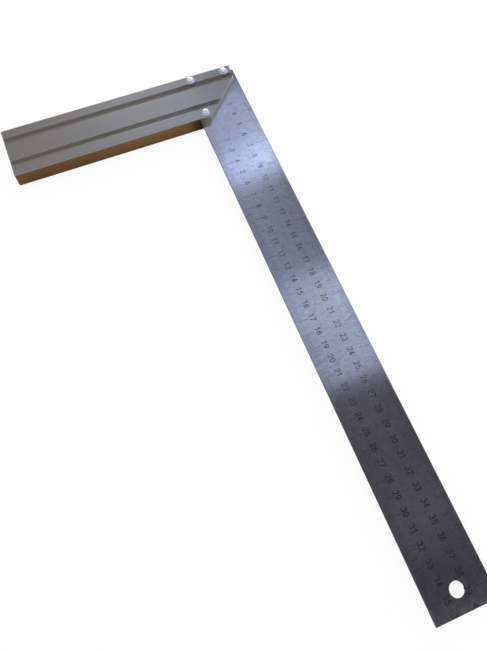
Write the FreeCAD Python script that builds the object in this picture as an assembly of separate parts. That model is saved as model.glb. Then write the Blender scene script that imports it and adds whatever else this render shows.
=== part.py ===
import FreeCAD, Part
import math
import os

# Try and mitre square: a steel blade riveted into a saw kerf across a grooved handle.
# The origin is the zero corner of the blade's marked face, where the blade's outer ruling
# edge meets the plane of the handle's outer face.
# +Z points up out of the marked face, -Y along the blade to its tip, -X along the handle.
# All sizes are in millimetres.

# --- blade ---
BLADE_LENGTH = 400.0        # from the handle's outer face to the tip
BLADE_WIDTH = 40.0
BLADE_THICK = 1.0
TIP_CORNER_R = 0.4          # the corners at the zero end stay sharp
HANG_HOLE_D = 9.0
HANG_HOLE_FROM_TIP = 12.5

# --- handle ---
HANDLE_WIDTH = 40.0         # outer face to inner face
HANDLE_THICK = 12.0
HANDLE_LEFT = 178.5         # far end, measured from the blade's outer edge
HANDLE_SETBACK = 3.5        # near, square end, measured in from the blade's outer edge
MITRE_OFFSET = 7.3          # the 45 degree plane cuts the blade's outer edge this far down
EDGE_R = 0.5                # long corners of the extrusion

# Grooves along both broad faces, as distances from the outer face:
# (steep wall, end of the flat floor, end of the ramp back up to the face)
GROOVES = [
    (6.9, 8.1, 12.7),
    (27.4, 28.7, 32.0),
]
GROOVE_DEPTH = 1.3
WALL_DRAFT = 0.15           # how far the wall leans in towards the groove at its foot
LIP_R = 0.2                 # convex radius at the top of the wall
ROOT_R = 0.3                # concave radius at the foot of the wall
CONCAVE_SHARE = 0.29        # the ramp's concave radius, as a share of its two radii's sum

KERF_DEPTH = BLADE_WIDTH + 1.0   # from the blade's outer edge, 1 mm past its inner edge
KERF_CLEAR = 0.05           # gap on each side of the blade

# --- rivets ---
RIVETS = [(-9.0, -4.0), (-35.6, -4.0), (-35.3, -35.6)]   # axes, (x, y)
RIVET_D = 3.2
HANDLE_RIVET_HOLE_D = 3.3
BLADE_RIVET_HOLE_D = 3.4

HEAD_D = 6.8
HEAD_H = 1.25
HEAD_EDGE_H = 0.22          # upright rim below the dome
HEAD_RECESS_D = 2.0         # mouth of the recess over the broken mandrel
HEAD_RECESS_DEPTH = 0.4     # the recess tapers down to the bore over this depth
BORE_D = 1.9

TAIL_D = 4.9                # set blind end under the handle
TAIL_H = 2.3
TAIL_LIP = 0.3              # flat ring around the socket at the tail's end

MANDREL_D = 1.8
MANDREL_BREAK_BELOW = 0.08  # broken end, below the head's top
MANDREL_NECK_H = 0.2        # length of the rounded, broken end
MANDREL_HEAD_D = 2.84
MANDREL_HEAD_OUT = 0.6      # how far the mandrel's head shows below the tail
MANDREL_HEAD_RIM = 0.05     # straight part of the head below the tail

# Socket in the tail for the mandrel's head: its cone lies between these heights
# above the tail's end.
SOCKET_CONE_TOP = 1.25
SOCKET_CONE_BOTTOM = 0.6
SOCKET_SIDE_CLEAR = 0.06
SOCKET_CONE_CLEAR = 0.07    # the mandrel's cone sits this much lower than the socket's

# --- levels in Z ---
Z_MID = -BLADE_THICK / 2
Z_TOP = Z_MID + HANDLE_THICK / 2
Z_BOTTOM = Z_MID - HANDLE_THICK / 2
HEAD_TOP_Z = Z_TOP + HEAD_H
TAIL_Z = Z_BOTTOM - TAIL_H

CUT_MARGIN = 1.0            # how far drills and the mitre cutter pass the faces they cut
KERF_MARGIN = 5.0           # how far the kerf cutter passes the open sides
MITRE_NEAR_X = 5.0          # extent in X of the mitre cutter, beyond the metal it removes
MITRE_FAR_X = -60.0

Vec = FreeCAD.Vector


# --- outlines: lists of segments, each two points (line) or three points (arc) ---

def polyline(*points):
    """Line segments joining the points in turn."""
    return list(zip(points, points[1:]))


def arc_segment(centre, radius, start_deg, end_deg):
    """Arc segment given by its centre, radius and end angles."""
    angles = [math.radians(a) for a in (start_deg, (start_deg + end_deg) / 2, end_deg)]
    return tuple((centre[0] + radius * math.cos(a), centre[1] + radius * math.sin(a))
                 for a in angles)


def make_edge(points):
    curve = Part.LineSegment(*points) if len(points) == 2 else Part.Arc(*points)
    return curve.toShape()


def make_face(edges):
    return Part.Face(Part.Wire(Part.__sortEdges__(edges)))


def drill(shape, x, y, diameter, bottom, height):
    """Cut an upright round hole through the layer of this height above bottom."""
    return shape.cut(Part.makeCylinder(diameter / 2, height + 2 * CUT_MARGIN,
                                       Vec(x, y, bottom - CUT_MARGIN)))


# --- handle ---

def groove_outline(start_y, wall, floor_end, ramp_end, top):
    """One groove and the flat land leading to it from start_y."""
    floor = top - GROOVE_DEPTH
    foot_y = -wall - WALL_DRAFT
    # The ramp is two tangent arcs, level at both ends and turning by the same angle.
    turn = 2 * math.atan2(GROOVE_DEPTH, ramp_end - floor_end)
    radius_sum = GROOVE_DEPTH / (1 - math.cos(turn))
    concave_r = radius_sum * CONCAVE_SHARE
    convex_r = radius_sum * (1 - CONCAVE_SHARE)
    turn_deg = math.degrees(turn)
    return [
        ((start_y, top), (-wall + LIP_R, top)),
        arc_segment((-wall + LIP_R, top - LIP_R), LIP_R, 90, 180),
        ((-wall, top - LIP_R), (foot_y, floor + ROOT_R)),
        arc_segment((foot_y - ROOT_R, floor + ROOT_R), ROOT_R, 0, -90),
        ((foot_y - ROOT_R, floor), (-floor_end, floor)),
        arc_segment((-floor_end, floor + concave_r), concave_r, -90, -90 - turn_deg),
        arc_segment((-ramp_end, top - convex_r), convex_r, 90 - turn_deg, 90),
    ]


def half_section():
    """Upper half of the handle's section, outer face to inner face, as (y, height above
    the mid-plane)."""
    top = HANDLE_THICK / 2
    corner = top - EDGE_R
    outline = [
        ((0.0, 0.0), (0.0, corner)),
        arc_segment((-EDGE_R, corner), EDGE_R, 0, 90),
    ]
    land_y = -EDGE_R
    for wall, floor_end, ramp_end in GROOVES:
        outline += groove_outline(land_y, wall, floor_end, ramp_end, top)
        land_y = -ramp_end
    return outline + [
        ((land_y, top), (-HANDLE_WIDTH + EDGE_R, top)),
        arc_segment((-HANDLE_WIDTH + EDGE_R, corner), EDGE_R, 90, 180),
        ((-HANDLE_WIDTH, corner), (-HANDLE_WIDTH, 0.0)),
    ]


def mitre_cutter():
    """Triangular prism on the removed side of the plane y = x - MITRE_OFFSET."""
    z = Z_BOTTOM - CUT_MARGIN
    near = Vec(MITRE_NEAR_X, MITRE_NEAR_X - MITRE_OFFSET, z)
    far = Vec(MITRE_FAR_X, MITRE_FAR_X - MITRE_OFFSET, z)
    corner = Vec(MITRE_NEAR_X, MITRE_FAR_X - MITRE_OFFSET, z)
    triangle = Part.makePolygon([near, far, corner, near])
    return Part.Face(triangle).extrude(Vec(0, 0, HANDLE_THICK + 2 * CUT_MARGIN))


def kerf_cutter():
    """Slot for the blade, open through both long faces and the near end."""
    return Part.makeBox(
        KERF_DEPTH + KERF_MARGIN,
        HANDLE_WIDTH + 2 * KERF_MARGIN,
        BLADE_THICK + 2 * KERF_CLEAR,
        Vec(-KERF_DEPTH, -HANDLE_WIDTH - KERF_MARGIN, -BLADE_THICK - KERF_CLEAR))


def make_handle():
    edges = [make_edge([Vec(-HANDLE_LEFT, y, Z_MID + side * height) for y, height in segment])
             for segment in half_section() for side in (1, -1)]
    body = make_face(edges).extrude(Vec(HANDLE_LEFT - HANDLE_SETBACK, 0, 0))
    body = body.cut(mitre_cutter())
    body = body.cut(kerf_cutter())
    for x, y in RIVETS:
        body = drill(body, x, y, HANDLE_RIVET_HOLE_D, Z_BOTTOM, HANDLE_THICK)
    return body.removeSplitter()


# --- blade ---

def make_blade():
    body = Part.makeBox(BLADE_WIDTH, BLADE_LENGTH, BLADE_THICK,
                        Vec(-BLADE_WIDTH, -BLADE_LENGTH, -BLADE_THICK))
    # the two upright edges at the tip
    tip_edges = [edge for edge in body.Edges
                 if all(abs(v.Y + BLADE_LENGTH) < 1e-6 for v in edge.Vertexes)
                 and abs(edge.Vertexes[0].X - edge.Vertexes[1].X) < 1e-6]
    body = body.makeFillet(TIP_CORNER_R, tip_edges)
    holes = [(-BLADE_WIDTH / 2, -BLADE_LENGTH + HANG_HOLE_FROM_TIP, HANG_HOLE_D)]
    holes += [(x, y, BLADE_RIVET_HOLE_D) for x, y in RIVETS]
    for x, y, diameter in holes:
        body = drill(body, x, y, diameter, -BLADE_THICK, BLADE_THICK)
    return body


# --- rivets: outlines are (radius, z) about the rivet's axis ---

def rivet_body_outline():
    bore_r, shank_r, head_r = BORE_D / 2, RIVET_D / 2, HEAD_D / 2
    socket_r = MANDREL_HEAD_D / 2 + SOCKET_SIDE_CLEAR
    tail_r = TAIL_D / 2
    rim = (head_r, Z_TOP + HEAD_EDGE_H)
    shoulder = (head_r * 0.70, Z_TOP + HEAD_H * 0.80)
    mouth = (HEAD_RECESS_D / 2, HEAD_TOP_Z)
    tail_end = (socket_r + TAIL_LIP, TAIL_Z)
    tail_belly = (tail_r * 0.985, Z_BOTTOM - TAIL_H * 0.52)
    tail_top = (tail_r - 0.1, Z_BOTTOM)
    inside = polyline(
        mouth,
        (bore_r, HEAD_TOP_Z - HEAD_RECESS_DEPTH),
        (bore_r, TAIL_Z + SOCKET_CONE_TOP),
        (socket_r, TAIL_Z + SOCKET_CONE_BOTTOM),
        (socket_r, TAIL_Z),
        tail_end)
    outside = polyline(tail_top, (shank_r, Z_BOTTOM), (shank_r, Z_TOP), (head_r, Z_TOP), rim)
    # domed head, inside, barrel-shaped tail, outside
    return [(rim, shoulder, mouth)] + inside + [(tail_end, tail_belly, tail_top)] + outside


def mandrel_outline():
    stem_r, head_r = MANDREL_D / 2, MANDREL_HEAD_D / 2
    top = HEAD_TOP_Z - MANDREL_BREAK_BELOW
    bottom = TAIL_Z - MANDREL_HEAD_OUT
    tip = (stem_r * 0.4, top)
    neck = (stem_r, top - MANDREL_NECK_H)
    head_rim = (head_r, TAIL_Z - MANDREL_HEAD_RIM)
    head_curve = (head_r * 0.72, TAIL_Z - MANDREL_HEAD_OUT * 0.78)
    head_flat = (head_r * 0.25, bottom)
    side = polyline(
        neck,
        (stem_r, TAIL_Z + SOCKET_CONE_TOP - SOCKET_CONE_CLEAR),
        (head_r, TAIL_Z + SOCKET_CONE_BOTTOM - SOCKET_CONE_CLEAR),
        head_rim)
    return ([((0, top), tip), (tip, (stem_r * 0.78, top - 0.06), neck)] + side
            + [(head_rim, head_curve, head_flat)]
            + polyline(head_flat, (0, bottom), (0, top)))


def revolve_at_rivets(outline):
    """Compound of the revolved outline, one solid on each rivet axis."""
    solids = []
    for x, y in RIVETS:
        edges = [make_edge([Vec(r, 0, z) for r, z in segment]) for segment in outline]
        solid = make_face(edges).revolve(Vec(0, 0, 0), Vec(0, 0, 1), 360)
        # the face's direction can leave the solid inside out
        if solid.Volume < 0:
            solid.reverse()
        solid.translate(Vec(x, y, 0))
        solids.append(solid)
    return Part.makeCompound(solids)


PARTS = {
    "handle": make_handle(),
    "blade": make_blade(),
    "rivet_bodies": revolve_at_rivets(rivet_body_outline()),
    "rivet_mandrels": revolve_at_rivets(mandrel_outline()),
}

os.makedirs("parts", exist_ok=True)
for name, shape in PARTS.items():
    shape.exportStep(f"parts/{name}.step")
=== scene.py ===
"""A carpenter's try square: a steel blade with an etched scale, riveted into an aluminium handle.

The blade lies flat along -Y, from x = -40 (inner edge) to x = 0 (outer edge), with its marked face
up (+Z) and its tip at y = -400. The handle runs along -X from the joint at the origin, from
y = -40 (inner face) to y = 0 (outer face). Positions and sizes are in mm unless a comment says
metres; Blender's own units are metres.
"""
import math

import bmesh
import bpy
from mathutils import Matrix, Vector


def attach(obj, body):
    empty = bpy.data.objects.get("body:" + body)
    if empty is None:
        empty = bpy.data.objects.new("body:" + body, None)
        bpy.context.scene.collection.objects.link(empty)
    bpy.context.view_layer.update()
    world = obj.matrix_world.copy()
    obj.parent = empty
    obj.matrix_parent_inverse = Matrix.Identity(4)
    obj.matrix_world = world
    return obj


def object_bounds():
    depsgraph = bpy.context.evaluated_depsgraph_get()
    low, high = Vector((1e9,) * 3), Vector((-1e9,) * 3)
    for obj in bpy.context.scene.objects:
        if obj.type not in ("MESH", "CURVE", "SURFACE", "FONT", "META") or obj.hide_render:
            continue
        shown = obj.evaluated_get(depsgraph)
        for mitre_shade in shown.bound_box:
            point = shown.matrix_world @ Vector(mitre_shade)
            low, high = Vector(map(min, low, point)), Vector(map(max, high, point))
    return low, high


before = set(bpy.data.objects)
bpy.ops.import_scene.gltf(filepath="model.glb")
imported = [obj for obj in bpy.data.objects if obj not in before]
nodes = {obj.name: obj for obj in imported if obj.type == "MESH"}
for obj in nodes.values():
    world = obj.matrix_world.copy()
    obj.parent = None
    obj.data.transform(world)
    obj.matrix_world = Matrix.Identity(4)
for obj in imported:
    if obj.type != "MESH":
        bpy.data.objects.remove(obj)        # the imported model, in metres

cad_lo, cad_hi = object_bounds()
scene = bpy.context.scene

MM = 0.001
FLOOR_Z = cad_lo.z             # metres
BLADE_WIDTH = 40.0
BLADE_LENGTH = 400.0
HANDLE_WIDTH = 40.0
HANDLE_HALF_THICK = 6.0
HANDLE_DROP = 0.5              # the handle's middle lies this far below z = 0
MITRE = 7.3                    # the handle's mitre on the blade is the plane y = x - MITRE
COS_45 = 0.7071

# the rivets: x, y, strength of the painted shadow in the recess (0 to 1)
RIVETS = [
    (-9.0, -4.0, 1.0),
    (-35.6, -4.0, 0.10),
    (-35.3, -35.6, 0.45),
]


# ------------------------------------------------------------------------------------------
# node graphs written as arithmetic
# ------------------------------------------------------------------------------------------
class Field:
    """A node's output. Operators and methods add nodes that work on it.

    Wherever a field is taken, a number or a colour will do too.
    """

    def __init__(self, graph, socket):
        self.graph = graph
        self.socket = socket

    def __add__(self, other):
        return self.graph.math("ADD", self, other)

    def __radd__(self, other):
        return self.graph.math("ADD", other, self)

    def __sub__(self, other):
        return self.graph.math("SUBTRACT", self, other)

    def __rsub__(self, other):
        return self.graph.math("SUBTRACT", other, self)

    def __mul__(self, other):
        return self.graph.math("MULTIPLY", self, other)

    def __truediv__(self, other):
        return self.graph.math("DIVIDE", self, other)

    def __abs__(self):
        return self.graph.math("ABSOLUTE", self)

    def max(self, other):
        return self.graph.math("MAXIMUM", self, other)

    def min(self, other):
        return self.graph.math("MINIMUM", self, other)

    def rise(self, start, end, low=0.0, high=1.0, smooth=True):
        """low where the field is at start, high where it is at end. start may be the larger."""
        inputs = {"Value": self, "From Min": start, "From Max": end, "To Min": low, "To Max": high}
        kind = "SMOOTHSTEP" if smooth else "LINEAR"
        return self.graph.field("ShaderNodeMapRange", inputs, interpolation_type=kind, clamp=True)

    def fall(self, start, end, high=1.0, low=0.0):
        """high where the field is at start, low where it is at end."""
        return self.rise(start, end, high, low)

    def band(self, start, end, soft):
        """1 between start and end, falling to 0 over soft outside them."""
        return self.rise(start - soft, start) * self.fall(end, end + soft)

    def mix(self, first, second, blend="MIX"):
        """Mixes two colours, with this field as the share of the second."""
        inputs = {0: self, 6: first, 7: second}
        return self.graph.field("ShaderNodeMix", inputs, 2, data_type="RGBA", blend_type=blend)

    def lerp(self, first, second):
        """Mixes two numbers, with this field as the share of the second."""
        return self.graph.field("ShaderNodeMix", {0: self, 2: first, 3: second}, data_type="FLOAT")

    def xyz(self):
        split = self.graph.new("ShaderNodeSeparateXYZ", {0: self})
        return [Field(self.graph, out) for out in split.outputs]

    def stretched(self, x, y, z):
        inputs = {0: self, 1: (x, y, z)}
        return self.graph.field("ShaderNodeVectorMath", inputs, operation="MULTIPLY")

    def turned(self, degrees):
        inputs = {"Vector": self, "Angle": math.radians(degrees)}
        return self.graph.field("ShaderNodeVectorRotate", inputs, rotation_type="Z_AXIS")

    def noise(self, pitch, detail, rough, distort, seed):
        """Noise over this point. pitch is its frequency, or one frequency for each axis."""
        point = self
        if isinstance(pitch, tuple):
            point = self.stretched(*pitch)
            pitch = 1.0
        inputs = {"Vector": point, "W": seed, "Scale": pitch, "Detail": detail,
                  "Roughness": rough, "Distortion": distort}
        return self.graph.field("ShaderNodeTexNoise", inputs, noise_dimensions="4D")

    def noises(self, rows):
        """One noise per row; the columns are pitch, detail, roughness, distortion, seed."""
        return [self.noise(*row) for row in rows]

    def bump(self, strength, depth, over=None):
        """A normal from this height, laid over another normal if one is given."""
        inputs = {"Strength": strength, "Distance": depth * MM, "Height": self}
        if over is not None:
            inputs["Normal"] = over
        return self.graph.field("ShaderNodeBump", inputs)


class Graph:
    """A node tree, emptied and given its output node."""

    def __init__(self, tree, output_kind):
        self.tree = tree
        tree.nodes.clear()
        self.output = self.new(output_kind)

    def new(self, kind, inputs=None, **props):
        """Adds a node. inputs maps socket names or numbers to what goes in."""
        node = self.tree.nodes.new(kind)
        for key, value in props.items():
            setattr(node, key, value)
        self.set(node, inputs or {})
        return node

    def set(self, node, inputs):
        for key, value in inputs.items():
            socket = node.inputs[key]
            if isinstance(value, Field):
                self.tree.links.new(value.socket, socket)
            elif socket.type == "RGBA":
                socket.default_value = (*value, 1.0)
            else:
                socket.default_value = value

    def field(self, kind, inputs=None, output=0, **props):
        """Adds a node and gives one of its outputs."""
        return Field(self, self.new(kind, inputs, **props).outputs[output])

    def math(self, operation, *values):
        return self.field("ShaderNodeMath", dict(enumerate(values)), operation=operation)

    def vector(self, x, y, z):
        return self.field("ShaderNodeCombineXYZ", {0: x, 1: y, 2: z})

    def point_mm(self):
        """The shaded point in the model's frame, in mm."""
        metres = self.field("ShaderNodeTexCoord", output="Object")
        inputs = {0: metres, "Scale": 1000.0}
        return self.field("ShaderNodeVectorMath", inputs, operation="SCALE")

    def normal(self):
        return self.field("ShaderNodeNewGeometry", output="Normal").xyz()

    def ray_kinds(self):
        """Whether the ray is from the camera, and whether it is a glossy one."""
        path = self.new("ShaderNodeLightPath")
        return [Field(self, path.outputs[name]) for name in ("Is Camera Ray", "Is Glossy Ray")]


def material(name):
    mat = bpy.data.materials.new(name)
    mat.use_nodes = True
    graph = Graph(mat.node_tree, "ShaderNodeOutputMaterial")
    bsdf = graph.new("ShaderNodeBsdfPrincipled")
    graph.set(graph.output, {0: Field(graph, bsdf.outputs[0])})
    return mat, graph, bsdf


def layers(base, rows):
    """Lays colours over a base in turn; the columns are cover, colour and, if given, blend type."""
    for cover, colour, *blend in rows:
        base = cover.mix(base, colour, *blend)
    return base


# ------------------------------------------------------------------------------------------
# materials
# ------------------------------------------------------------------------------------------
def streaks(point, fineness, seed):
    """Long thin marks along Y. fineness is their frequency across, per mm."""
    pitch = (fineness, 0.012 * fineness, 0.35)
    return point.noise(pitch, detail=5.0, rough=0.6, distort=0.0, seed=seed)


def scratches(point, angle, across, along, cut, seed):
    """Sparse straight scratches: 1 on a scratch, 0 elsewhere.

    angle is in degrees, across and along are frequencies, and a higher cut leaves fewer.
    """
    grain = point.turned(angle).noise(
        (across, along, 0.2), detail=2.0, rough=0.5, distort=0.0, seed=seed)
    line = abs(grain - 0.5).fall(0.0, 0.006)
    patches = point.turned(angle).noise(
        (along * 1.7, along * 1.1, 0.1), detail=2.0, rough=0.5, distort=0.0, seed=seed + 9.0)
    return line * patches.rise(cut, cut + 0.06)


def blade_steel():
    mat, graph, bsdf = material("blade_brushed_steel")
    point = graph.point_mm()
    x, y, _ = point.xyz()
    normal_z = graph.normal()[2]
    fine = streaks(point, fineness=9.0, seed=1.0)
    coarse = streaks(point, fineness=2.2, seed=2.0)
    cloud, grime, blotch, speck, tint, film, rolled, waves = point.noises([
        (0.05, 4.0, 0.6, 0.3, 4.0),                     # cloud
        (0.22, 5.0, 0.65, 0.2, 5.0),                    # grime
        ((0.26, 0.46, 1.0), 4.0, 0.62, 0.5, 7.0),       # blotch: handling marks
        ((0.9, 1.3, 1.0), 3.0, 0.6, 0.0, 8.0),          # speck
        (0.11, 3.0, 0.55, 0.4, 9.0),                    # tint
        ((0.050, 0.034, 1.0), 5.0, 0.62, 0.9, 17.0),    # film: dry oil with ragged edges
        ((0.45, 0.016, 0.2), 3.0, 0.55, 0.0, 18.0),     # rolled: faint long bands
        (0.03, 1.0, 0.5, 0.0, 21.0),                    # waves: the sheet is not quite flat
    ])
    # columns: angle, across, along, cut, seed
    low, steep, steeper, square = [scratches(point, *row) for row in (
        (12.0, 0.55, 0.02, 0.52, 11.0),
        (-24.0, 0.7, 0.03, 0.56, 12.0),
        (63.0, 0.8, 0.05, 0.6, 13.0),
        (104.0, 0.6, 0.04, 0.56, 14.0),
    )]
    scratched = low.max(steep).max(steeper.max(square))
    # the marks are strongest away from the handle
    worn = y.fall(-125.0, -80.0, high=1.20, low=0.60)
    # rubbed, slightly dirtier long edges, a millimetre or so wide
    rim = abs(x).min(abs(x + BLADE_WIDTH)).fall(0.1, 1.2)
    # the film dulls or lifts the colour, mostly towards the tip
    dull = film.rise(0.47, 0.60) * y.fall(-285.0, -235.0, low=0.25)
    lift = film.rise(0.46, 0.34) * y.fall(-285.0, -235.0, low=0.30)
    # painted shade on the blade along the handle's mitre, patchy
    from_mitre = (x - MITRE - y) * COS_45
    mitre_shade = from_mitre.fall(0.0, 3.0) * grime.rise(0.2, 0.7, low=0.7)
    # the sheared edges are dull, and their faces are painted dark as shade
    side = abs(normal_z).fall(0.30, 0.70)

    colour = layers(fine.mix((0.560, 0.566, 0.583), (0.690, 0.695, 0.712)), [
        (coarse.rise(0.35, 0.7, high=0.5), (0.615, 0.620, 0.640)),
        (blotch.rise(0.50, 0.68) * (worn * 0.78), (0.450, 0.455, 0.505)),
        (blotch.rise(0.46, 0.30) * (worn * 0.75), (0.80, 0.805, 0.805)),
        (speck.rise(0.56, 0.70) * (worn * 0.55), (0.44, 0.445, 0.48)),
        (speck.rise(0.42, 0.30) * (worn * 0.72), (0.86, 0.865, 0.86)),
        (tint.rise(0.45, 0.68, high=0.45), (0.585, 0.555, 0.645)),
        (tint.rise(0.44, 0.26, high=0.45), (0.560, 0.600, 0.575)),
        (dull * 0.50, (0.50, 0.50, 0.42)),
        (lift * 0.40, (0.76, 0.74, 0.84)),
        (rolled.rise(0.52, 0.70, high=0.22), (0.50, 0.505, 0.53)),
        (rolled.rise(0.46, 0.30, high=0.22), (0.76, 0.765, 0.78)),
        (grime.rise(0.52, 0.75, high=0.30), (0.50, 0.495, 0.49)),
        (cloud.rise(0.45, 0.75, high=0.25), (0.52, 0.535, 0.575)),
        (rim * 0.45, (0.40, 0.40, 0.41)),
        (scratched * 0.45, (0.86, 0.86, 0.87)),
        # painted shade along the handle's mitre
        (mitre_shade * 0.30, (0.36, 0.36, 0.37)),
        # painted shade on the blade's side faces
        (side * 0.85, (0.16, 0.155, 0.16)),
    ])
    rough = (0.100 + fine * 0.04 + grime.rise(0.4, 0.8) * 0.05
             + blotch.rise(0.35, 0.70) * 0.035 + rim * 0.08)
    height = fine * 0.5 + coarse * 0.5 + blotch * 0.25 - scratched * 0.5
    brushed = height.bump(strength=0.16, depth=0.004)
    # brushed along its length: the reflection spreads across the strip
    graph.set(bsdf, {
        "Base Color": colour,
        "Metallic": 1.0,
        "Roughness": side.lerp(rough, 0.42),
        "Anisotropic": 0.8,
        "Tangent": graph.vector(1.0, 0.0, 0.0),
        "Normal": waves.bump(strength=1.0, depth=0.02, over=brushed),
    })
    return mat


def handle_aluminium():
    mat, graph, bsdf = material("handle_satin_aluminium")
    point = graph.point_mm()
    x, y, z = point.xyz()
    normal_x, normal_y, normal_z = graph.normal()
    # where a saw cut the bar: the mitre and the two square ends
    mitre = ((normal_x - normal_y) * COS_45).rise(0.93, 0.97)
    ends = abs(normal_x).rise(0.95, 0.98)
    sawn = mitre.max(ends)
    die, wide_die, cloud, grime, grain, end_cut = point.noises([
        ((0.006, 3.5, 3.5), 4.0, 0.65, 0.0, 1.0),       # die: extrusion lines
        ((0.003, 0.9, 0.9), 3.0, 0.6, 0.0, 2.0),        # wide_die: broader ones
        (0.03, 4.0, 0.6, 0.4, 3.0),                     # cloud
        (0.16, 5.0, 0.65, 0.3, 4.0),                    # grime
        (6.0, 3.0, 0.6, 0.0, 5.0),                      # grain
        ((0.1, 3.5, 0.06), 4.0, 0.7, 0.0, 9.0),         # end_cut: saw marks on the ends
    ])
    cells = graph.field("ShaderNodeTexVoronoi",
                        {"Vector": point.stretched(1.0, 1.0, 0.4), "Scale": 0.11},
                        output="Distance")
    ding = cells.fall(0.03, 0.10)
    # columns: angle, across, along, cut, seed
    steep, low = [scratches(point, *row) for row in (
        (78.0, 0.45, 0.02, 0.55, 6.0),
        (20.0, 0.6, 0.03, 0.57, 7.0),
    )]
    scratched = steep.max(low)
    mitre_cut = graph.vector((x + y) * 0.9, 0.0, z * 0.05).noise(
        3.0, detail=4.0, rough=0.7, distort=0.0, seed=8.0)
    cut = mitre.lerp(end_cut, mitre_cut)
    # where the broad faces sink inwards, away from the handle's long edges: the whole recess gets
    # painted shade, its deepest part grime together with painted shade
    depth = HANDLE_HALF_THICK - abs(z + HANDLE_DROP)
    inside = abs(y).min(abs(y + HANDLE_WIDTH)).rise(2.0, 4.0)
    groove = depth.rise(0.60, 1.45) * inside
    slope = depth.rise(0.0, 0.25) * inside
    # painted shade where the inner face meets the blade
    nook_shade = normal_y.rise(-0.75, -0.95) * x.rise(-52.0, -41.0)
    # the top faces are darker towards the joint end
    joint_end_darker = x.rise(-50.0, -17.0) * normal_z.rise(0.3, 0.7)
    # painted contact shade on the mitre, darkest at mid thickness, by the blade
    foot_shade = mitre * abs(z + HANDLE_DROP).fall(0.5, 4.2)

    colour = layers(wide_die.rise(0.3, 0.7).mix((0.545, 0.540, 0.535), (0.600, 0.597, 0.597)), [
        (cloud.rise(0.42, 0.7, high=0.35), (0.515, 0.510, 0.500)),
        (grime.rise(0.55, 0.78, high=0.35), (0.44, 0.425, 0.40)),
        # painted shade in the recesses and grooves
        (slope * 0.22, (0.42, 0.405, 0.38)),
        (groove * grime.rise(0.2, 0.7, low=0.60, high=0.95), (0.32, 0.275, 0.20)),
        (nook_shade * x.fall(-40.5, -33.0, high=0.92, low=0.40), (0.27, 0.25, 0.20)),
        (scratched * 0.4, (0.72, 0.72, 0.72)),
        (joint_end_darker * 0.58, (0.70, 0.69, 0.67), "MULTIPLY"),
        (sawn * 0.8, (0.66, 0.66, 0.665)),
        (foot_shade * 0.55, (0.36, 0.355, 0.36)),
    ])
    rough = 0.245 + die * 0.09 + grime.rise(0.45, 0.8) * 0.08 + slope * 0.06
    height = sawn.lerp(die * 0.5 + grain * 0.35 - scratched * 0.6, cut * 1.6)
    surface = height.bump(strength=0.35, depth=0.012)
    graph.set(bsdf, {
        "Base Color": colour,
        "Metallic": 1.0,
        "Roughness": sawn.lerp(rough, 0.30 + cut * 0.16),
        "Normal": (ding * -1.0).bump(strength=0.35, depth=0.03, over=surface),
    })
    return mat


def rivet_aluminium():
    mat, graph, bsdf = material("rivet_bright_aluminium")
    point = graph.point_mm()
    x, y, z = point.xyz()
    mottle, dents = point.noises([
        (2.5, 4.0, 0.6, 0.0, 1.0),      # mottle
        (0.9, 3.0, 0.6, 0.3, 2.0),      # dents
    ])
    turned = graph.vector(0.0, 0.0, z).noise(
        9.0, detail=3.0, rough=0.6, distort=0.0, seed=3.0)
    # distance from the nearest rivet's axis
    radius = None
    for rivet_x, rivet_y, _ in RIVETS:
        squared = ((x - rivet_x) * (x - rivet_x)) + ((y - rivet_y) * (y - rivet_y))
        distance = graph.math("SQRT", squared)
        radius = distance if radius is None else radius.min(distance)
    # the setting tool leaves a dull ring; the recess is a little darker with oxide
    recess = radius.fall(0.92, 1.02) * z.rise(5.6, 5.9)
    ring = radius.band(1.15, 1.5, soft=0.2) * z.rise(5.9, 6.3)
    # painted shade around the dome's outer edge
    skirt_shade = radius.rise(2.95, 3.35)

    colour = layers(mottle.rise(0.3, 0.75).mix((0.57, 0.62, 0.72), (0.65, 0.70, 0.79)), [
        (dents.rise(0.5, 0.75, high=0.3), (0.54, 0.58, 0.67)),
        (skirt_shade * 0.35, (0.40, 0.42, 0.46)),
        (recess * 0.3, (0.40, 0.42, 0.47)),
    ])
    # painted shadow of the recess rim, on the +X side of each recess
    for rivet_x, rivet_y, recess_shadow in RIVETS:
        from_x = x - (rivet_x + 0.85)
        from_y = y - (rivet_y - 0.20)
        distance = graph.math("SQRT", from_x * from_x + from_y * from_y)
        cover = distance.fall(0.32, 0.66, high=recess_shadow) * z.rise(5.6, 5.9)
        colour = cover.mix(colour, (0.07, 0.08, 0.10))
    height = mottle * 0.5 + turned * 0.15 + dents * 1.5
    # soft aluminium: part mirror, part frosted
    graph.set(bsdf, {
        "Base Color": colour,
        "Metallic": 0.70,
        "IOR": 2.0,
        "Roughness": 0.20 + mottle * 0.08 + ring * 0.04 + recess * 0.1,
        "Normal": height.bump(strength=0.35, depth=0.03),
    })
    return mat


def mandrel_steel():
    mat, graph, bsdf = material("mandrel_zinc_steel")
    mottle, dents, rust = graph.point_mm().noises([
        (3.5, 5.0, 0.7, 0.2, 1.0),      # mottle
        (1.1, 3.0, 0.6, 0.2, 2.0),      # dents
        (1.6, 4.0, 0.7, 0.2, 3.0),      # rust
    ])
    rust = rust.rise(0.62, 0.76)
    zinc = mottle.mix((0.60, 0.64, 0.71), (0.74, 0.78, 0.85))
    graph.set(bsdf, {
        "Base Color": (rust * 0.45).mix(zinc, (0.22, 0.14, 0.09)),
        "Metallic": 0.75 - rust * 0.4,
        "Roughness": 0.42 + mottle * 0.18,
        "Normal": (mottle * 0.7 + dents).bump(strength=0.5, depth=0.05),
    })
    return mat


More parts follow.
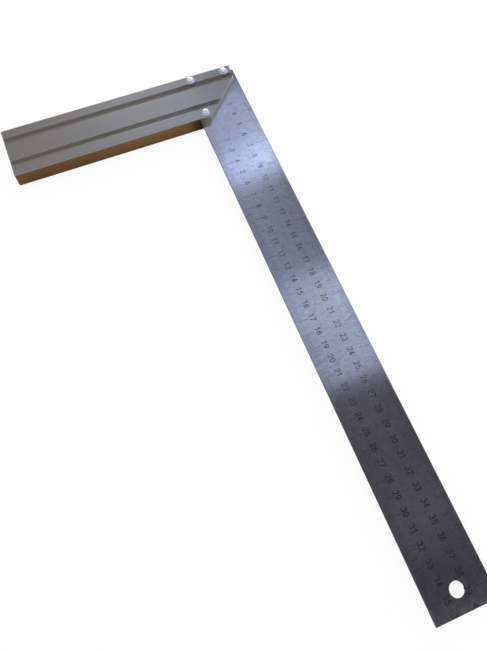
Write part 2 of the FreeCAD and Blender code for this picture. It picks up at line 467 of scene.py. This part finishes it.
def scale_ink():
    mat, graph, bsdf = material("etched_scale_dark")
    point = graph.point_mm()
    x, y, _ = point.xyz()
    mottle, patch = point.noises([
        (3.0, 4.0, 0.7, 0.0, 1.0),      # mottle
        (0.12, 4.0, 0.65, 0.2, 2.0),    # patch
    ])
    streak = streaks(point, fineness=6.0, seed=3.0)
    # most rubbed by the handle, where the scale is used most
    worn = (patch * 0.7 + streak * 0.3).rise(0.36, 0.66) * y.rise(-150.0, -70.0, low=0.15)
    # the first numbers of both rows, right beside the handle, are almost gone; the inner row
    # starts further down the blade
    gone = (y + x.rise(-20.0, -24.0, high=24.0)).rise(-38.0, -29.0)
    colour = layers(mottle.mix((0.090, 0.092, 0.103), (0.150, 0.153, 0.168)), [
        (y.fall(-300.0, -250.0, high=0.55), (0.045, 0.045, 0.045)),
        (worn * 0.65, (0.42, 0.425, 0.44)),
        (gone * 0.70, (0.56, 0.565, 0.585)),
    ])
    graph.set(bsdf, {
        "Base Color": colour,
        "Metallic": 1.0,
        "Roughness": 0.26 - worn * 0.08,
        "Anisotropic": 0.7,
        "Tangent": graph.vector(1.0, 0.0, 0.0),
        "Normal": mottle.bump(strength=0.2, depth=0.004),
    })
    return mat


# ------------------------------------------------------------------------------------------
# the etched scale: thin closed solids on the blade's marked face
# ------------------------------------------------------------------------------------------
INK_TOP = 0.012
INK_SINK = 0.005
LAYER_LIFT = 0.0015        # overlapping strokes never share a face: each is a little thicker
STROKE = 0.50
DIGIT_PITCH = 2.85
MITRE_GAP = 0.15           # bare strip between the handle and the scale
EDGE_GAP = 0.25            # bare strip along the blade's edges
CM = 10.0
CAP_STEPS = 4              # segments in a stroke's rounded end

# centre of the digits in x, y where the row's scale starts, last number
NUMBER_ROWS = [
    (-14.25, 0.0, 40),
    (-27.75, -HANDLE_WIDTH, 36),
]
# centimetre, half-centimetre and millimetre lines
TICK_WIDTHS = (0.20, 0.15, 0.12)
OUTER_TICKS = (9.0, 6.2, 4.0)      # reach from the outer edge
INNER_TICKS = (9.2, 7.0, 5.0)      # reach from the inner edge
SHORTEST_TICK = 0.3


def ellipse(mid_x, mid_y, radius_x, radius_y, start, end, steps):
    """Points along an elliptical arc; angles in degrees."""
    angles = [math.radians(start + (end - start) * k / steps) for k in range(steps + 1)]
    return [(mid_x + radius_x * math.cos(a), mid_y + radius_y * math.sin(a)) for a in angles]


# Drawing-office digits: the centre lines of their strokes in a box WIDE by TALL.
# Each stroke is its points and whether it is a loop.
WIDE, TALL = 1.85, 3.55
MID = WIDE / 2
OPEN, LOOP = False, True
DIGITS = {
    "0": [(ellipse(MID, TALL / 2, MID, TALL / 2, 90, 450, 28), LOOP)],
    "1": [([(0.25, TALL - 0.75), (1.10, TALL)], OPEN),
          ([(1.10, TALL), (1.10, 0.0)], OPEN)],
    "2": [(ellipse(MID, TALL - 0.98, 0.90, 0.98, 165, -35, 14) + [(0.05, 0.0), (WIDE, 0.0)], OPEN)],
    "3": [(ellipse(MID - 0.03, TALL - 0.88, 0.82, 0.88, 160, -80, 14), OPEN),
          (ellipse(MID - 0.03, 0.95, 0.93, 0.95, 85, -160, 16), OPEN)],
    "4": [([(1.30, 0.0), (1.30, TALL)], OPEN),
          ([(1.30, TALL), (0.0, 1.05)], OPEN),
          ([(0.0, 1.05), (WIDE, 1.05)], OPEN)],
    "5": [([(WIDE - 0.15, TALL), (0.35, TALL)], OPEN),
          ([(0.35, TALL), (0.18, 1.95)], OPEN),
          (ellipse(MID - 0.05, 1.12, 0.96, 1.12, 125, -155, 18), OPEN)],
    "6": [(ellipse(MID, 1.10, MID, 1.10, 90, 450, 24), LOOP),
          (ellipse(1.62, 1.10, 1.62, 2.45, 180, 98, 10), OPEN)],
    "7": [([(0.0, TALL), (WIDE, TALL)], OPEN),
          ([(WIDE, TALL), (0.62, 0.0)], OPEN)],
    "8": [(ellipse(MID, TALL - 0.86, 0.78, 0.86, 90, 450, 22), LOOP),
          (ellipse(MID, 0.96, MID, 0.96, 90, 450, 24), LOOP)],
    "9": [(ellipse(MID, TALL - 1.10, MID, 1.10, 90, 450, 24), LOOP),
          (ellipse(WIDE - 1.62, TALL - 1.10, 1.62, 2.45, 0, -82, 10), OPEN)],
}


def add_verts(bm, points, z):
    return [bm.verts.new((x, y, z)) for x, y in points]


def offset_sides(points, half, closed):
    """The lines half a width to the left and right of a line of points."""
    left, right = [], []
    last = len(points) - 1
    for i, point in enumerate(points):
        before = point - points[i - 1]
        after = points[(i + 1) % len(points)] - point
        if not closed and i == 0:
            before = after
        if not closed and i == last:
            after = before
        before, after = before.normalized(), after.normalized()
        normal = Vector((-before.y, before.x))
        mitre = normal + Vector((-after.y, after.x))
        mitre.normalize()
        reach = min(1.6, 1.0 / max(0.4, mitre.dot(normal)))    # sharp corners are cut short
        left.append(point + mitre * half * reach)
        right.append(point - mitre * half * reach)
    return left, right


def loop_ribbon(bm, left, right, bottom, top):
    left_posts, right_posts = [
        [[bm.verts.new((x, y, z)) for z in (bottom, top)] for x, y in side]
        for side in (left, right)]
    count = len(left)
    for i in range(count):
        j = (i + 1) % count
        left_lo, left_hi = left_posts[i]
        next_left_lo, next_left_hi = left_posts[j]
        right_lo, right_hi = right_posts[i]
        next_right_lo, next_right_hi = right_posts[j]
        bm.faces.new((right_hi, next_right_hi, next_left_hi, left_hi))
        bm.faces.new((left_lo, next_left_lo, next_right_lo, right_lo))
        bm.faces.new((left_hi, next_left_hi, next_left_lo, left_lo))
        bm.faces.new((right_lo, next_right_lo, next_right_hi, right_hi))


def cap_arc(centre, start, half):
    """Points on the half circle clockwise from start, without its two ends."""
    first = math.atan2((start - centre).y, (start - centre).x)
    angles = [first - math.pi * k / CAP_STEPS for k in range(1, CAP_STEPS)]
    return [(centre.x + half * math.cos(a), centre.y + half * math.sin(a)) for a in angles]


def open_ribbon(bm, points, sides, half, bottom, top):
    upper = [add_verts(bm, side, top) for side in sides]
    lower = [add_verts(bm, side, bottom) for side in sides]
    top_left, top_right = upper
    low_left, low_right = lower
    for i in range(len(points) - 1):
        j = i + 1
        bm.faces.new((top_right[i], top_right[j], top_left[j], top_left[i]))
        bm.faces.new((low_left[i], low_left[j], low_right[j], low_right[i]))
        bm.faces.new((top_left[i], top_left[j], low_left[j], low_left[i]))
        bm.faces.new((low_right[i], low_right[j], top_right[j], top_right[i]))
    # rounded ends: the far one runs from left to right, the near one from right to left
    for end, from_side, to_side in ((-1, 0, 1), (0, 1, 0)):
        arc = cap_arc(points[end], sides[from_side][end], half)
        top_rim = [upper[from_side][end], *add_verts(bm, arc, top), upper[to_side][end]]
        low_rim = [lower[from_side][end], *add_verts(bm, arc, bottom), lower[to_side][end]]
        bm.faces.new(list(reversed(top_rim)))
        bm.faces.new(low_rim)
        for k in range(CAP_STEPS):
            bm.faces.new((top_rim[k], top_rim[k + 1], low_rim[k + 1], low_rim[k]))


def ribbon(bm, line, bottom, top, closed):
    """A closed flat solid, STROKE wide, along a line given in mm."""
    points = [Vector((x * MM, y * MM)) for x, y in line]
    if closed:
        points.pop()           # a loop's last point repeats its first
    half = STROKE * MM / 2
    sides = offset_sides(points, half, closed)
    if closed:
        loop_ribbon(bm, *sides, bottom * MM, top * MM)
    else:
        open_ribbon(bm, points, sides, half, bottom * MM, top * MM)


def finish_mesh(bm, name):
    bmesh.ops.recalc_face_normals(bm, faces=bm.faces)
    mesh = bpy.data.meshes.new(name)
    bm.to_mesh(mesh)
    bm.free()
    obj = bpy.data.objects.new(name, mesh)
    scene.collection.objects.link(obj)
    return obj


def on_blade(x, y):
    """True where the marked face is clear of the handle and of the tip."""
    return y < x - MITRE - MITRE_GAP and y > -(BLADE_LENGTH - EDGE_GAP)


def build_numbers():
    """Two rows of centimetre numbers that read along -Y, with their tops to the outer edge."""
    bm = bmesh.new()
    for row_x, row_y, last in NUMBER_ROWS:
        for number in range(1, last + 1):
            text = str(number)
            length = DIGIT_PITCH * (len(text) - 1)
            for place, digit in enumerate(text):
                digit_y = row_y - CM * number - (place * DIGIT_PITCH - length / 2)
                for layer, (stroke, closed) in enumerate(DIGITS[digit]):
                    line = [(row_x + (up - TALL / 2), digit_y - (along - MID))
                            for along, up in stroke]
                    if all(on_blade(x, y) for x, y in line):
                        lift = layer * LAYER_LIFT
                        ribbon(bm, line, -INK_SINK - lift, INK_TOP + lift, closed)
    return finish_mesh(bm, "scale_numbers")


def add_tick(bm, x_lo, x_hi, y, width):
    """One line of the scale, clipped where the handle covers it."""
    x_lo = max(x_lo, y + MITRE + MITRE_GAP)
    if x_hi - x_lo < SHORTEST_TICK:
        return
    y_lo, y_hi = y - width / 2, y + width / 2
    corners = [(x_lo, y_lo), (x_hi, y_lo), (x_hi, y_hi), (x_lo, y_hi)]
    outline = [(x * MM, y * MM) for x, y in corners]
    low = add_verts(bm, outline, -INK_SINK * MM)
    high = add_verts(bm, outline, INK_TOP * MM)
    bm.faces.new(list(reversed(low)))
    bm.faces.new(high)
    for i in range(4):
        j = (i + 1) % 4
        bm.faces.new((low[i], low[j], high[j], high[i]))


def build_ticks():
    """The lines along the outer edge, then those along the inner edge."""
    bm = bmesh.new()

    def size(k):
        return 0 if k % 10 == 0 else 1 if k % 5 == 0 else 2

    for k in range(1, 400):
        add_tick(bm, -OUTER_TICKS[size(k)], -EDGE_GAP, -float(k), TICK_WIDTHS[size(k)])
    for k in range(1, 360):
        add_tick(bm, -BLADE_WIDTH + EDGE_GAP, -BLADE_WIDTH + INNER_TICKS[size(k)],
                 -HANDLE_WIDTH - k, TICK_WIDTHS[size(k)])
    return finish_mesh(bm, "scale_ticks")


# ------------------------------------------------------------------------------------------
# the object
# ------------------------------------------------------------------------------------------
LOOK = {
    "blade": blade_steel(),
    "handle": handle_aluminium(),
    "rivet_bodies": rivet_aluminium(),
    "rivet_mandrels": mandrel_steel(),
}
for name, mat in LOOK.items():
    slots = nodes[name].data.materials
    slots.clear()
    slots.append(mat)

ink = scale_ink()
for marks in (build_numbers(), build_ticks()):
    marks.data.materials.append(ink)
    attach(marks, "root")


# ------------------------------------------------------------------------------------------
# studio: floor, world, lights, camera
# ------------------------------------------------------------------------------------------
FLOOR_HALF = 6.0           # metres


def floor_material():
    mat, graph, bsdf = material("pale_floor")
    point = graph.point_mm()
    x, y, _ = point.xyz()
    is_camera, is_glossy = graph.ray_kinds()
    soft, wood = point.noises([
        (0.004, 3.0, 0.5, 0.0, 1.0),                # soft
        ((0.02, 0.22, 1.0), 4.0, 0.6, 0.3, 2.0),    # wood
    ])
    pale = soft.mix((0.885, 0.885, 0.885), (0.905, 0.905, 0.905))
    # only reflections see warm wood, in a patch from the handle's inner face to past the tip
    brown = layers(wood.mix((0.155, 0.080, 0.022), (0.255, 0.138, 0.042)), [
        (x.rise(-135.0, -90.0), (1.24, 1.36, 1.50), "MULTIPLY"),
    ])
    near = y.band(-420.0, -39.0, soft=25.0) * x.band(-260.0, -30.0, soft=20.0)
    graph.set(bsdf, {
        "Base Color": (near * is_glossy).mix(pale, brown),
        "Roughness": 0.9,
        "Specular IOR Level": 0.0,
    })
    # to the camera the floor is mostly its own light, which keeps the shadow faint
    glow = graph.field("ShaderNodeEmission", {0: (0.985, 0.985, 0.985)})
    blend = graph.field("ShaderNodeMixShader",
                        {0: is_camera * 0.95, 1: Field(graph, bsdf.outputs[0]), 2: glow})
    graph.set(graph.output, {0: blend})
    return mat


def build_floor():
    bm = bmesh.new()
    far = FLOOR_HALF
    bm.faces.new(add_verts(bm, [(-far, -far), (far, -far), (far, far), (-far, far)], FLOOR_Z))
    floor = finish_mesh(bm, "floor")
    floor.data.materials.append(floor_material())


# The room that the metal reflects, by the reflected ray's slopes x / z and y / z.
# Over the blade, from the tip end on: where it starts in y / z, how soft that edge is,
# its light on the inner side (-X), its light on the outer side (+X).
ROOM_START = (0.52, 0.53, 0.58)
ROOM = [
    (-0.30, 0.10, (0.058, 0.054, 0.067), (0.054, 0.050, 0.063)),    # dark end
    (-0.150, 0.060, (0.102, 0.094, 0.124), (0.082, 0.076, 0.100)),  # near dark
    (0.160, 0.016, (0.34, 0.38, 0.52), (0.56, 0.63, 0.85)),         # soft box
    (0.270, 0.060, (0.44, 0.50, 0.67), (0.62, 0.70, 0.92)),         # soft box core
    (0.388, 0.040, (0.295, 0.33, 0.465), (0.19, 0.21, 0.295)),      # gap
    (0.628, 0.045, (0.65, 0.82, 1.36), (1.20, 1.37, 1.82)),         # strip light
    (0.705, 0.060, (0.42, 0.48, 0.72), (0.57, 0.66, 0.95)),         # ceiling
]
# over the handle, towards +X: warm grey, a broad cooler glow, a dim end
PANEL_FAR = (0.265, 0.242, 0.192)
PANEL_GLOW = (0.49, 0.47, 0.57)
PANEL_END = (0.060, 0.055, 0.052)
SIDE_WALL = (0.58, 0.60, 0.64)
OUTER_WALL = (0.68, 0.70, 0.77)
FAR_WALL = (0.205, 0.190, 0.160)
LAMP = (0.85, 0.88, 0.95)
LOW_WALL = (0.50, 0.50, 0.53)
# plain light for the other rays
DIFFUSE_LIGHT = (0.95, 0.95, 0.95)
BACKDROP = (0.93, 0.93, 0.93)


def reflected_room(graph):
    x, y, z = graph.field("ShaderNodeTexCoord", output="Generated").xyz()
    rise = z.max(0.02)
    slope_x, slope_y = x / rise, y / rise
    outward = slope_x.rise(0.27, 0.355, smooth=False)
    # the strip light stands a little askew
    skewed = slope_y - (slope_x - 0.31) * slope_y.rise(0.42, 0.56, high=0.15)
    over_blade = ROOM_START
    for start, soft, inner, outer in ROOM:
        here = outward.mix(inner, outer)
        over_blade = skewed.rise(start - soft / 2, start + soft / 2).mix(over_blade, here)
    over_handle = layers(PANEL_FAR, [
        (slope_x.rise(-0.02, 0.23), PANEL_GLOW),
        (slope_x.rise(0.235, 0.345), PANEL_END),
    ])
    blade_part = slope_x.rise(0.16, 0.27) * slope_y.fall(0.85, 0.90)
    blade_part = blade_part.max(slope_y.fall(0.40, 0.65))
    # the rest of the room: walls on both sides, a dim far wall and a lamp in front of it
    right = slope_x.rise(0.55, 0.80) * slope_y.fall(0.45, 0.65)
    right = right.max(slope_x.rise(1.00, 1.40))
    lamp = slope_x.band(0.14, 0.32, soft=0.12) * slope_y.band(1.10, 1.90, soft=0.20)
    return layers(blade_part.mix(over_handle, over_blade), [
        (slope_x.fall(-1.20, -0.60), SIDE_WALL),
        (right * slope_y.fall(1.0, 1.3), OUTER_WALL),
        (slope_y.rise(1.10, 1.60), FAR_WALL),
        (lamp, LAMP),
        (z.fall(0.08, 0.32), y.rise(-0.1, 0.5).mix(LOW_WALL, FAR_WALL)),
    ])


def build_world():
    world = bpy.data.worlds.new("studio")
    scene.world = world
    world.use_nodes = True
    graph = Graph(world.node_tree, "ShaderNodeOutputWorld")
    is_camera, is_glossy = graph.ray_kinds()
    glossy, diffuse, backdrop = [
        graph.field("ShaderNodeBackground", {0: colour})
        for colour in (reflected_room(graph), DIFFUSE_LIGHT, BACKDROP)]
    lit = graph.field("ShaderNodeMixShader", {0: is_glossy, 1: diffuse, 2: glossy})
    seen = graph.field("ShaderNodeMixShader", {0: is_camera, 1: lit, 2: backdrop})
    graph.set(graph.output, {0: seen})


def soft_light(name, place, target, width, height, power, glossy):
    """An elliptical lamp aimed at target, in metres and watts."""
    lamp = bpy.data.lights.new(name, "AREA")
    lamp.shape = "ELLIPSE"
    lamp.size = width
    lamp.size_y = height
    lamp.energy = power
    obj = bpy.data.objects.new(name, lamp)
    scene.collection.objects.link(obj)
    obj.location = place
    obj.rotation_mode = "QUATERNION"
    obj.rotation_quaternion = (Vector(place) - Vector(target)).to_track_quat("Z", "Y")
    obj.visible_glossy = glossy
    obj.visible_camera = False
    return obj


def build_lights():
    soft_light("key", place=(0.45, 0.55, 1.1), target=(-0.07, -0.18, 0.0),
               width=1.2, height=1.2, power=8.0, glossy=False)
    # a small lamp for the rivets alone: it puts the white glint on each dome
    glint = soft_light("glint", place=(0.155, 0.47, 0.345), target=(-0.026, -0.015, 0.006),
                       width=0.34, height=0.13, power=0.72, glossy=True)
    heads = bpy.data.collections.new("glint_receivers")
    for name in ("rivet_bodies", "rivet_mandrels"):
        heads.objects.link(nodes[name])
    glint.light_linking.receiver_collection = heads


def build_camera():
    """Above the bench on the blade's inner side, towards the tip, looking about 70 degrees down."""
    data = bpy.data.cameras.new("camera")
    camera = bpy.data.objects.new("camera", data)
    scene.collection.objects.link(camera)
    # columns: right, up, backward, place in metres
    camera.matrix_world = Matrix((
        (0.92563174, 0.34453661, -0.15652607, -0.1284615),
        (-0.37724761, 0.87272603, -0.30989276, -0.3123894),
        (0.02983497, 0.34589565, 0.93779852, 0.3430742),
        (0.0, 0.0, 0.0, 1.0),
    ))
    data.sensor_fit = "AUTO"
    data.sensor_width = 36.0
    data.lens = 31.40532
    data.shift_x = -0.00076923077      # share of the sensor's width
    data.shift_y = 0.00076923077
    data.clip_start = 0.01
    data.clip_end = 50.0
    scene.camera = camera


build_floor()
build_world()
build_lights()
scene.view_settings.view_transform = "Standard"
scene.view_settings.look = "None"
scene.view_settings.exposure = 0.0
scene.view_settings.gamma = 1.0
build_camera()

bpy.context.view_layer.update()
